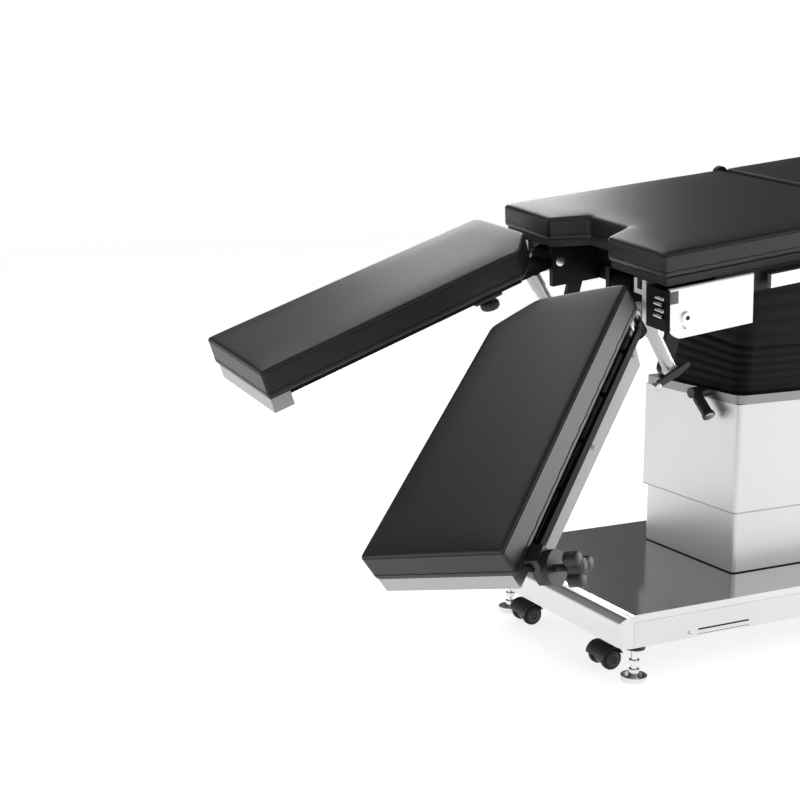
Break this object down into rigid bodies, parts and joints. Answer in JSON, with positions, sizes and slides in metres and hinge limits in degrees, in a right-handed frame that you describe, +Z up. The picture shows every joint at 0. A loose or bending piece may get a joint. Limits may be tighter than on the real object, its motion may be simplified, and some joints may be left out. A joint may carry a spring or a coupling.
{
  "type": "operating table",
  "caption": "Operating table with a sectioned padded top: split legs that drop and splay, a raising back and head, a tilting lift column and a steel base on casters and feet.",
  "frame": {"origin": "middle of the bounding box, on the floor", "axes": "+X along the table towards the head end, +Y to the right of a patient who lies on it, away from the camera, +Z up"},
  "size_m": [2.033, 0.9019, 1.0427],
  "materials": {
    "upholstery": "satin",
    "board": "matte",
    "black_frame": "satin",
    "black_steel": "satin",
    "tray": "satin",
    "bright_steel": "satin",
    "brushed_steel": "satin",
    "polished_steel": "gloss",
    "chassis": "matte",
    "chrome": "polished",
    "bellows": "matte",
    "wheels": "matte",
    "caster_plastic": "satin",
    "black_plastic": "satin",
    "white_paint": "gloss",
    "casing": "matte"
  },
  "bodies": {
    "base": {"base_top_cover": "polished_steel", "base_side_panels": "polished_steel", "base_chassis": "chassis", "base_screws": "chrome", "foot_hubs": "black_plastic", "battery_pack": "casing", "pump_unit": "chassis", "column_lower_cover": "brushed_steel", "outer_mast": "brushed_steel", "lift_cylinder": "chassis"},
    "lift": {"column_upper_cover": "brushed_steel", "column_flange": "brushed_steel", "inner_mast": "brushed_steel", "lift_rod": "chrome", "lower_bellows": "bellows"},
    "column_lever": {"column_lever": "black_plastic"},
    "gimbal": {"tilt_gimbal": "brushed_steel"},
    "seat": {"seat_frame": "black_frame", "seat_board": "board", "seat_pad": "upholstery", "hinge_plates": "bright_steel", "hinge_boxes": "black_plastic", "hinge_cheeks": "brushed_steel", "seat_fasteners": "chrome", "seat_rails": "bright_steel", "upper_bellows": "bellows"},
    "back": {"back_frame": "black_frame", "back_pad": "upholstery"},
    "head": {"head_frame": "black_frame", "head_pad": "upholstery"},
    "caster_foot_left": {"caster_fork_foot_left": "caster_plastic"},
    "caster_foot_left_wheels": {"caster_wheels_foot_left": "wheels"},
    "caster_foot_right": {"caster_fork_foot_right": "caster_plastic"},
    "caster_foot_right_wheels": {"caster_wheels_foot_right": "wheels"},
    "caster_head_left": {"caster_fork_head_left": "caster_plastic"},
    "caster_head_left_wheels": {"caster_wheels_head_left": "wheels"},
    "caster_head_right": {"caster_fork_head_right": "caster_plastic"},
    "caster_head_right_wheels": {"caster_wheels_head_right": "wheels"},
    "foot_foot_left": {"foot_foot_left": "chrome"},
    "foot_foot_right": {"foot_foot_right": "chrome"},
    "foot_head_left": {"foot_head_left": "chrome"},
    "foot_head_right": {"foot_head_right": "chrome"},
    "left_bracket": {"left_leg_bracket": "black_steel"},
    "left_leg": {"left_leg_frame": "tray", "left_leg_pad": "upholstery", "left_leg_rail": "black_steel", "left_leg_strip": "bright_steel"},
    "left_strut_head": {"left_strut_head": "white_paint"},
    "left_strut_cylinder": {"left_strut_cylinder": "white_paint"},
    "left_release_lever": {"left_release_lever": "black_steel"},
    "right_bracket": {"right_leg_bracket": "black_steel"},
    "right_leg": {"right_leg_frame": "tray", "right_leg_pad": "upholstery", "right_leg_rail": "black_steel", "right_leg_strip": "bright_steel"},
    "right_strut_head": {"right_strut_head": "white_paint"},
    "right_strut_cylinder": {"right_strut_cylinder": "white_paint"},
    "right_release_lever": {"right_release_lever": "black_steel"},
    "rail_clamp": {"rail_clamp": "black_steel"},
    "clamp_knob": {"clamp_knob": "black_plastic"}
  },
  "joints": [
    {"name": "caster_foot_left_swivel", "type": "hinge", "parent": "base", "child": "caster_foot_left", "pos_m": [-0.3528, 0.0312, 0.0825], "axis": [0, 0, 1], "continuous": true},
    {"name": "caster_foot_left_roll", "type": "hinge", "parent": "caster_foot_left", "child": "caster_foot_left_wheels", "pos_m": [-0.3708, 0.0312, 0.022], "axis": [0, 1, 0], "continuous": true},
    {"name": "caster_foot_right_swivel", "type": "hinge", "parent": "base", "child": "caster_foot_right", "pos_m": [-0.3528, 0.3152, 0.0825], "axis": [0, 0, 1], "continuous": true},
    {"name": "caster_foot_right_roll", "type": "hinge", "parent": "caster_foot_right", "child": "caster_foot_right_wheels", "pos_m": [-0.3708, 0.3152, 0.022], "axis": [0, 1, 0], "continuous": true},
    {"name": "caster_head_left_swivel", "type": "hinge", "parent": "base", "child": "caster_head_left", "pos_m": [0.5752, 0.0312, 0.0825], "axis": [0, 0, 1], "continuous": true},
    {"name": "caster_head_left_roll", "type": "hinge", "parent": "caster_head_left", "child": "caster_head_left_wheels", "pos_m": [0.5572, 0.0312, 0.022], "axis": [0, 1, 0], "continuous": true},
    {"name": "caster_head_right_swivel", "type": "hinge", "parent": "base", "child": "caster_head_right", "pos_m": [0.5752, 0.3152, 0.0825], "axis": [0, 0, 1], "continuous": true},
    {"name": "caster_head_right_roll", "type": "hinge", "parent": "caster_head_right", "child": "caster_head_right_wheels", "pos_m": [0.5572, 0.3152, 0.022], "axis": [0, 1, 0], "continuous": true},
    {"name": "foot_foot_left_retract", "type": "slide", "parent": "base", "child": "foot_foot_left", "axis": [0, 0, 1], "range_m": [0, 0.012]},
    {"name": "foot_foot_right_retract", "type": "slide", "parent": "base", "child": "foot_foot_right", "axis": [0, 0, 1], "range_m": [0, 0.012]},
    {"name": "foot_head_left_retract", "type": "slide", "parent": "base", "child": "foot_head_left", "axis": [0, 0, 1], "range_m": [0, 0.012]},
    {"name": "foot_head_right_retract", "type": "slide", "parent": "base", "child": "foot_head_right", "axis": [0, 0, 1], "range_m": [0, 0.012]},
    {"name": "height", "type": "slide", "parent": "base", "child": "lift", "axis": [0, 0, 1], "range_m": [-0.06, 0.13]},
    {"name": "column_lever_turn", "type": "hinge", "parent": "lift", "child": "column_lever", "pos_m": [-0.1008, 0.1282, 0.497], "axis": [1, 0, 0], "range_deg": [-40, 42]},
    {"name": "side_tilt", "type": "hinge", "parent": "lift", "child": "gimbal", "pos_m": [0.0862, 0.1732, 0.6105], "axis": [1, 0, 0], "range_deg": [-27, 12.8], "deforming": ["lower_bellows"]},
    {"name": "end_tilt", "type": "hinge", "parent": "gimbal", "child": "seat", "pos_m": [0.0862, 0.1732, 0.6105], "axis": [0, 0.9921, 0.1253], "range_deg": [-17.5, 32], "deforming": ["upper_bellows"]},
    {"name": "back_raise", "type": "hinge", "parent": "seat", "child": "back", "pos_m": [0.17622, 0.13778, 0.8909], "axis": [0, -0.9921, -0.1253], "range_deg": [-15, 65]},
    {"name": "head_raise", "type": "hinge", "parent": "back", "child": "head", "pos_m": [0.72974, 0.13091, 0.94525], "axis": [0, -0.9921, -0.1253], "range_deg": [-45, 30]},
    {"name": "left_leg_drop", "type": "hinge", "parent": "seat", "child": "left_bracket", "pos_m": [-0.34876, 0.00848, 0.72955], "axis": [0, -0.9921, -0.1253], "range_deg": [-28.9, 25]},
    {"name": "left_leg_splay", "type": "hinge", "parent": "left_bracket", "child": "left_leg", "pos_m": [-0.46814, -0.10107, 0.73506], "axis": [-0.5906, -0.1011, 0.8006], "range_deg": [-30, 45]},
    {"name": "left_strut_swing", "type": "hinge", "parent": "left_bracket", "child": "left_strut_head", "pos_m": [-0.35364, -0.02856, 0.69166], "axis": [0, -0.9921, -0.1253], "range_deg": [-29.7, 34.26]},
    {"name": "left_strut_slide", "type": "slide", "parent": "left_strut_head", "child": "left_strut_cylinder", "axis": [0.5627, 0.1036, -0.8201], "range_m": [-0.01051, 0.0121]},
    {"name": "left_release", "type": "hinge", "parent": "left_strut_cylinder", "child": "left_release_lever", "pos_m": [-0.27288, -0.01369, 0.57396], "axis": [0, -0.9921, -0.1253], "range_deg": [-12, 20]},
    {"name": "right_leg_drop", "type": "hinge", "parent": "seat", "child": "right_bracket", "pos_m": [-0.34876, 0.30314, 0.76677], "axis": [0, -0.9921, -0.1253], "range_deg": [-13.2, 44]},
    {"name": "right_leg_splay", "type": "hinge", "parent": "right_bracket", "child": "right_leg", "pos_m": [-0.45849, 0.40392, 0.8307], "axis": [0.3502, 0.1174, -0.9293], "range_deg": [0, 75]},
    {"name": "right_strut_swing", "type": "hinge", "parent": "right_bracket", "child": "right_strut_head", "pos_m": [-0.36238, 0.34812, 0.74182], "axis": [0, -0.9921, -0.1253], "range_deg": [-52.43, 16.08]},
    {"name": "right_strut_slide", "type": "slide", "parent": "right_strut_head", "child": "right_strut_cylinder", "axis": [0.594, 0.1008, -0.7981], "range_m": [-0.01712, 0.00535]},
    {"name": "right_release", "type": "hinge", "parent": "right_strut_cylinder", "child": "right_release_lever", "pos_m": [-0.27288, 0.36331, 0.62158], "axis": [0, -0.9921, -0.1253], "range_deg": [-12, 20]},
    {"name": "clamp_slide", "type": "slide", "parent": "left_leg", "child": "rail_clamp", "axis": [0.6813, 0.4691, 0.5619], "range_m": [-0.003, 0.4]},
    {"name": "clamp_knob_turn", "type": "hinge", "parent": "rail_clamp", "child": "clamp_knob", "pos_m": [-0.83349, -0.25367, 0.33197], "axis": [-0.4324, 0.8773, -0.2081], "continuous": true}
  ],
  "couplings": [
    {"joint": "foot_foot_right_retract", "follows": "foot_foot_left_retract", "ratio": 1},
    {"joint": "foot_head_left_retract", "follows": "foot_foot_left_retract", "ratio": 1},
    {"joint": "foot_head_right_retract", "follows": "foot_foot_left_retract", "ratio": 1},
    {"joint": "left_strut_swing", "follows": "left_leg_drop", "ratio": -1.1565},
    {"joint": "left_strut_slide", "follows": "left_leg_drop", "m_per_rad": -0.02316},
    {"joint": "right_strut_swing", "follows": "right_leg_drop", "ratio": -1.1685},
    {"joint": "right_strut_slide", "follows": "right_leg_drop", "m_per_rad": -0.02169}
  ]
}
